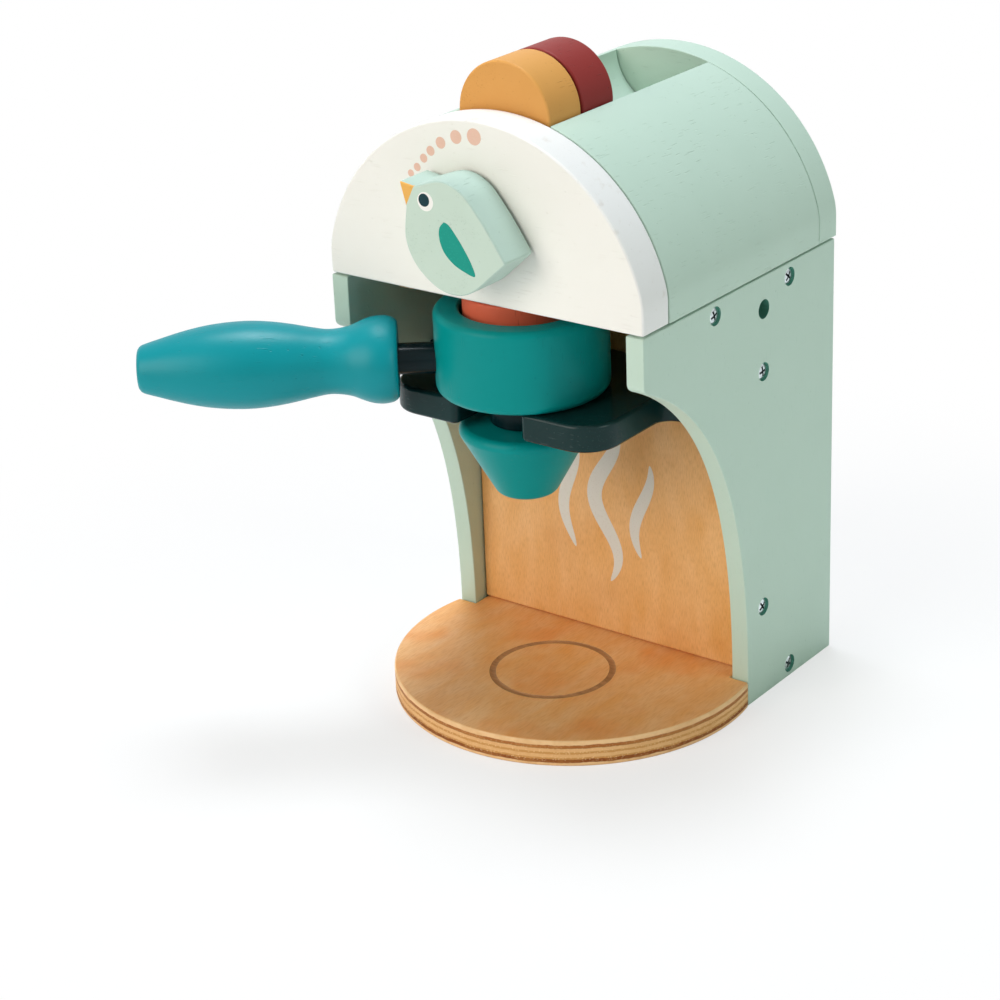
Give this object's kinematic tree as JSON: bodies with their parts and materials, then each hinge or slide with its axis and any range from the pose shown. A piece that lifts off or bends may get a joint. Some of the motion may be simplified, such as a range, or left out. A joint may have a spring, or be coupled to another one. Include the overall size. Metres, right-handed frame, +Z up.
{
  "type": "toy coffee maker",
  "caption": "Wooden toy coffee maker: arched dome with a pod trough and a turning knob over two swept side panels, a fork bracket with a lift-out handled filter cup, and a round base.",
  "frame": {"origin": "on the floor, under the middle of the fascia's front face, on the base board's underside", "axes": "+Z up, -Y towards the front, +X to the right in a front view"},
  "size_m": [0.1676, 0.1776, 0.2287],
  "materials": {
    "mint_paint": "satin mint paint on wood",
    "white_paint": "satin white paint on wood",
    "birch_plywood": "clear lacquer on birch plywood",
    "plain_pine": "bare planed wood",
    "teal_paint": "satin teal paint on turned wood",
    "navy_paint": "semi-gloss navy paint on wood",
    "ochre_paint": "satin ochre paint on turned wood",
    "burgundy_paint": "satin burgundy paint on turned wood",
    "terracotta_paint": "satin terracotta paint on turned wood",
    "pale_mint_paint": "satin pale mint paint on wood",
    "zinc_steel": "zinc-plated steel",
    "fibre": "matt fibre"
  },
  "bodies": {
    "machine": {"left_side_panel": "mint_paint", "right_side_panel": "mint_paint", "dome_body": "mint_paint", "rear_fascia": "mint_paint", "front_fascia": "white_paint", "base_board": "birch_plywood", "back_panel": "birch_plywood", "front_rail_right": "plain_pine", "front_rail_left": "plain_pine", "rear_rail_right": "plain_pine", "rear_rail_left": "plain_pine", "front_dowel_right": "plain_pine", "front_dowel_left": "plain_pine", "rear_dowel_right": "plain_pine", "rear_dowel_left": "plain_pine", "portafilter_bracket": "navy_paint", "knob_washer": "fibre", "side_screw_right_front_rail": "zinc_steel", "side_screw_right_rear_rail": "zinc_steel", "side_screw_right_back_upper": "zinc_steel", "side_screw_right_back_lower": "zinc_steel", "side_screw_right_base": "zinc_steel", "side_screw_left_front_rail": "zinc_steel", "side_screw_left_rear_rail": "zinc_steel", "side_screw_left_back_upper": "zinc_steel", "side_screw_left_back_lower": "zinc_steel", "side_screw_left_base": "zinc_steel", "dome_screw_right_front": "zinc_steel", "dome_screw_right_rear": "zinc_steel", "dome_screw_left_front": "zinc_steel", "dome_screw_left_rear": "zinc_steel", "bracket_screw_right": "zinc_steel", "bracket_screw_left": "zinc_steel"},
    "turning_knob": {"knob": "pale_mint_paint", "knob_spindle": "plain_pine"},
    "portafilter": {"portafilter_cup": "teal_paint", "portafilter_spout": "teal_paint", "portafilter_handle": "teal_paint", "portafilter_neck": "navy_paint", "portafilter_rod": "navy_paint"},
    "yellow_pod": {"pod_yellow": "ochre_paint"},
    "burgundy_pod": {"pod_burgundy": "burgundy_paint"},
    "terracotta_pod": {"pod_terracotta": "terracotta_paint"}
  },
  "joints": [
    {"name": "knob_turn", "type": "hinge", "parent": "machine", "child": "turning_knob", "pos_m": [0, 0, 0.1795], "axis": [0, -1, 0], "continuous": true},
    {"name": "portafilter_pull", "type": "slide", "parent": "machine", "child": "portafilter", "axis": [0, -1, 0], "range_m": [0, 0.058]},
    {"name": "yellow_pod_lift", "type": "slide", "parent": "machine", "child": "yellow_pod", "axis": [0, 0, 1], "range_m": [0, 0.04]},
    {"name": "burgundy_pod_lift", "type": "slide", "parent": "machine", "child": "burgundy_pod", "axis": [0, 0, 1], "range_m": [0, 0.04]},
    {"name": "terracotta_pod_lift", "type": "slide", "parent": "portafilter", "child": "terracotta_pod", "axis": [0, 0, 1], "range_m": [0, 0.0012]}
  ]
}
